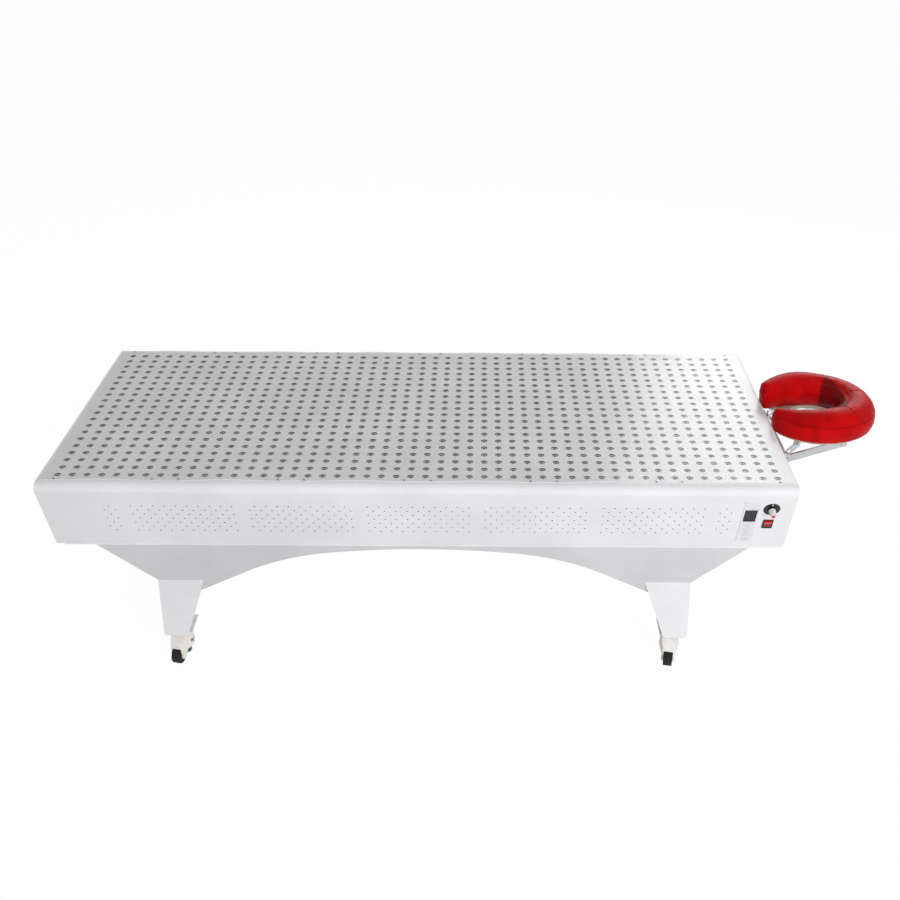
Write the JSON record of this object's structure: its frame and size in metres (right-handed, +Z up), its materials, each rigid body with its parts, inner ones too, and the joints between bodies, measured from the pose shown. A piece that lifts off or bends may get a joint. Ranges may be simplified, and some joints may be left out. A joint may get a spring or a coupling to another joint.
{
  "type": "red light therapy bed",
  "caption": "Therapy bed with a clear-topped light field in a sloped steel casing on arched aprons, legs and levelling casters, with a red horseshoe face cradle.",
  "frame": {"origin": "on the floor under the middle of the whole object's box", "axes": "+X along the bed to the head end with the face cradle, -Y to the control side, +Z up"},
  "size_m": [2.202, 0.8161, 0.7227],
  "materials": {
    "white_paint": "smooth satin powder coat",
    "plain_steel": "galvanised sheet",
    "clear_sheet": "clear polished sheet",
    "board_laminate": "white coated circuit board",
    "supply_case": "plain folded sheet",
    "black_plastic": "fine grained moulding",
    "pale_plastic": "smooth pale overlay",
    "display_window": "dark glossy window",
    "grey_plastic": "smooth moulding",
    "red_plastic": "smooth moulding",
    "red_lens": "translucent moulding",
    "control_metal": "plated",
    "yellow_zinc": "yellow passivated plate",
    "ivory_casting": "ivory painted casting",
    "wheel_tread": "smooth black nylon",
    "zinc_steel": "zinc plated",
    "bright_steel": "polished plating",
    "black_lever": "fine grained moulding",
    "cream_board": "cream lacquered board",
    "red_leather": "smooth upholstery leather"
  },
  "bodies": {
    "bed": {"front_panel": "white_paint", "rear_panel": "white_paint", "foot_end_panel": "white_paint", "head_end_panel": "white_paint", "front_apron": "white_paint", "rear_apron": "white_paint", "leg_foot_front": "white_paint", "leg_foot_rear": "white_paint", "leg_head_front": "white_paint", "leg_head_rear": "white_paint", "foot_frame": "white_paint", "head_frame": "white_paint", "reflector_plate": "white_paint", "bottom_pan": "white_paint", "cross_ribs": "plain_steel", "cover_sheet": "clear_sheet", "led_boards": "board_laminate", "power_supplies": "supply_case", "fan_frames": "black_plastic", "mains_inlet": "black_plastic", "dial_plate": "black_plastic", "switch_body": "black_plastic", "keypad_plate": "pale_plastic", "display_module": "display_window", "potentiometer": "control_metal", "caster_plates": "yellow_zinc", "rod_sockets": "zinc_steel"},
    "knob": {"knob": "grey_plastic", "knob_cap": "red_plastic"},
    "rocker": {"rocker": "red_lens"},
    "fan_rotor_foot": {"fan_rotor_foot": "black_plastic"},
    "fan_rotor_head": {"fan_rotor_head": "black_plastic"},
    "cradle_base": {"cradle_base": "bright_steel", "clamp_rod": "bright_steel"},
    "cradle_arms": {"cradle_arms": "bright_steel", "cradle_pins": "bright_steel"},
    "cradle_platform": {"cradle_platform": "cream_board", "headrest_pad": "red_leather"},
    "cradle_struts": {"cradle_struts": "bright_steel"},
    "cam_lever": {"cam_lever": "black_lever"},
    "key_1": {"key_1": "pale_plastic"},
    "key_2": {"key_2": "pale_plastic"},
    "key_3": {"key_3": "pale_plastic"},
    "key_4": {"key_4": "pale_plastic"},
    "caster_foot_front": {"caster_housing_foot_front": "ivory_casting"},
    "wheel_foot_front": {"caster_wheel_foot_front": "wheel_tread"},
    "dial_foot_front": {"caster_dial_foot_front": "red_plastic"},
    "foot_foot_front": {"caster_foot_foot_front": "zinc_steel"},
    "caster_head_front": {"caster_housing_head_front": "ivory_casting"},
    "wheel_head_front": {"caster_wheel_head_front": "wheel_tread"},
    "dial_head_front": {"caster_dial_head_front": "red_plastic"},
    "foot_head_front": {"caster_foot_head_front": "zinc_steel"},
    "caster_foot_rear": {"caster_housing_foot_rear": "ivory_casting"},
    "wheel_foot_rear": {"caster_wheel_foot_rear": "wheel_tread"},
    "dial_foot_rear": {"caster_dial_foot_rear": "red_plastic"},
    "foot_foot_rear": {"caster_foot_foot_rear": "zinc_steel"},
    "caster_head_rear": {"caster_housing_head_rear": "ivory_casting"},
    "wheel_head_rear": {"caster_wheel_head_rear": "wheel_tread"},
    "dial_head_rear": {"caster_dial_head_rear": "red_plastic"},
    "foot_head_rear": {"caster_foot_head_rear": "zinc_steel"}
  },
  "joints": [
    {"name": "key_1_press", "type": "slide", "parent": "bed", "child": "key_1", "axis": [0, 0.9511, 0.309], "range_m": [0, 0.0005], "stiffness_N_per_m": 400},
    {"name": "key_2_press", "type": "slide", "parent": "bed", "child": "key_2", "axis": [0, 0.9511, 0.309], "range_m": [0, 0.0005], "stiffness_N_per_m": 400},
    {"name": "key_3_press", "type": "slide", "parent": "bed", "child": "key_3", "axis": [0, 0.9511, 0.309], "range_m": [0, 0.0005], "stiffness_N_per_m": 400},
    {"name": "key_4_press", "type": "slide", "parent": "bed", "child": "key_4", "axis": [0, 0.9511, 0.309], "range_m": [0, 0.0005], "stiffness_N_per_m": 400},
    {"name": "knob_turn", "type": "hinge", "parent": "bed", "child": "knob", "pos_m": [0.744, -0.38729, 0.58579], "axis": [0, -0.9511, -0.309], "range_deg": [-150, 150]},
    {"name": "rocker_tilt", "type": "hinge", "parent": "bed", "child": "rocker", "pos_m": [0.744, -0.36445, 0.5317], "axis": [1, 0, 0], "range_deg": [-22, 0]},
    {"name": "fan_foot_spin", "type": "hinge", "parent": "bed", "child": "fan_rotor_foot", "pos_m": [-0.951, 0, 0.44742], "axis": [0, 0, 1], "continuous": true},
    {"name": "fan_head_spin", "type": "hinge", "parent": "bed", "child": "fan_rotor_head", "pos_m": [0.653, 0, 0.44742], "axis": [0, 0, 1], "continuous": true},
    {"name": "caster_foot_front_swivel", "type": "hinge", "parent": "bed", "child": "caster_foot_front", "pos_m": [-0.835, -0.25, 0.08], "axis": [0, 0, 1], "continuous": true},
    {"name": "wheel_foot_front_roll", "type": "hinge", "parent": "caster_foot_front", "child": "wheel_foot_front", "pos_m": [-0.84445, -0.29092, 0.025], "axis": [0.9744, -0.225, 0], "continuous": true},
    {"name": "foot_foot_front_lower", "type": "slide", "parent": "caster_foot_front", "child": "foot_foot_front", "axis": [0, 0, -1], "range_m": [0, 0.012]},
    {"name": "dial_foot_front_turn", "type": "hinge", "parent": "caster_foot_front", "child": "dial_foot_front", "pos_m": [-0.835, -0.25, 0.046], "axis": [0, 0, 1], "range_deg": [0, 2160]},
    {"name": "caster_head_front_swivel", "type": "hinge", "parent": "bed", "child": "caster_head_front", "pos_m": [0.551, -0.25, 0.08], "axis": [0, 0, 1], "continuous": true},
    {"name": "wheel_head_front_roll", "type": "hinge", "parent": "caster_head_front", "child": "wheel_head_front", "pos_m": [0.54371, -0.29136, 0.025], "axis": [0.9848, -0.1736, 0], "continuous": true},
    {"name": "foot_head_front_lower", "type": "slide", "parent": "caster_head_front", "child": "foot_head_front", "axis": [0, 0, -1], "range_m": [0, 0.012]},
    {"name": "dial_head_front_turn", "type": "hinge", "parent": "caster_head_front", "child": "dial_head_front", "pos_m": [0.551, -0.25, 0.046], "axis": [0, 0, 1], "range_deg": [0, 2160]},
    {"name": "caster_foot_rear_swivel", "type": "hinge", "parent": "bed", "child": "caster_foot_rear", "pos_m": [-0.835, 0.25, 0.08], "axis": [0, 0, 1], "continuous": true},
    {"name": "wheel_foot_rear_roll", "type": "hinge", "parent": "caster_foot_rear", "child": "wheel_foot_rear", "pos_m": [-0.81091, 0.2156, 0.025], "axis": [0.8192, 0.5736, 0], "continuous": true},
    {"name": "foot_foot_rear_lower", "type": "slide", "parent": "caster_foot_rear", "child": "foot_foot_rear", "axis": [0, 0, -1], "range_m": [0, 0.012]},
    {"name": "dial_foot_rear_turn", "type": "hinge", "parent": "caster_foot_rear", "child": "dial_foot_rear", "pos_m": [-0.835, 0.25, 0.046], "axis": [0, 0, 1], "range_deg": [0, 2160]},
    {"name": "caster_head_rear_swivel", "type": "hinge", "parent": "bed", "child": "caster_head_rear", "pos_m": [0.551, 0.25, 0.08], "axis": [0, 0, 1], "continuous": true},
    {"name": "wheel_head_rear_roll", "type": "hinge", "parent": "caster_head_rear", "child": "wheel_head_rear", "pos_m": [0.53663, 0.21053, 0.025], "axis": [0.9397, -0.342, 0], "continuous": true},
    {"name": "foot_head_rear_lower", "type": "slide", "parent": "caster_head_rear", "child": "foot_head_rear", "axis": [0, 0, -1], "range_m": [0, 0.012]},
    {"name": "dial_head_rear_turn", "type": "hinge", "parent": "caster_head_rear", "child": "dial_head_rear", "pos_m": [0.551, 0.25, 0.046], "axis": [0, 0, 1], "range_deg": [0, 2160]},
    {"name": "cradle_pull", "type": "slide", "parent": "bed", "child": "cradle_base", "axis": [1, 0, 0], "range_m": [0, 0.08]},
    {"name": "cradle_lift", "type": "hinge", "parent": "cradle_base", "child": "cradle_arms", "pos_m": [0.848, 0, 0.57], "axis": [0, -1, 0], "range_deg": [-12, 0]},
    {"name": "platform_tilt", "type": "hinge", "parent": "cradle_arms", "child": "cradle_platform", "pos_m": [0.996, 0, 0.621], "axis": [0, -1, 0], "range_deg": [0, 4.2]},
    {"name": "strut_swing", "type": "hinge", "parent": "cradle_platform", "child": "cradle_struts", "pos_m": [0.869, 0, 0.621], "axis": [0, -1, 0], "range_deg": [-15.6, 0]},
    {"name": "lever_release", "type": "hinge", "parent": "cradle_base", "child": "cam_lever", "pos_m": [0.841, 0.1289, 0.589], "axis": [1, 0, 0], "range_deg": [0, 100]}
  ],
  "couplings": [
    {"joint": "dial_foot_front_turn", "follows": "foot_foot_front_lower", "rad_per_m": 3141.6},
    {"joint": "dial_head_front_turn", "follows": "foot_head_front_lower", "rad_per_m": 3141.6},
    {"joint": "dial_foot_rear_turn", "follows": "foot_foot_rear_lower", "rad_per_m": 3141.6},
    {"joint": "dial_head_rear_turn", "follows": "foot_head_rear_lower", "rad_per_m": 3141.6},
    {"joint": "platform_tilt", "follows": "cradle_lift", "ratio": -0.35},
    {"joint": "strut_swing", "follows": "cradle_lift", "ratio": 1.3}
  ]
}
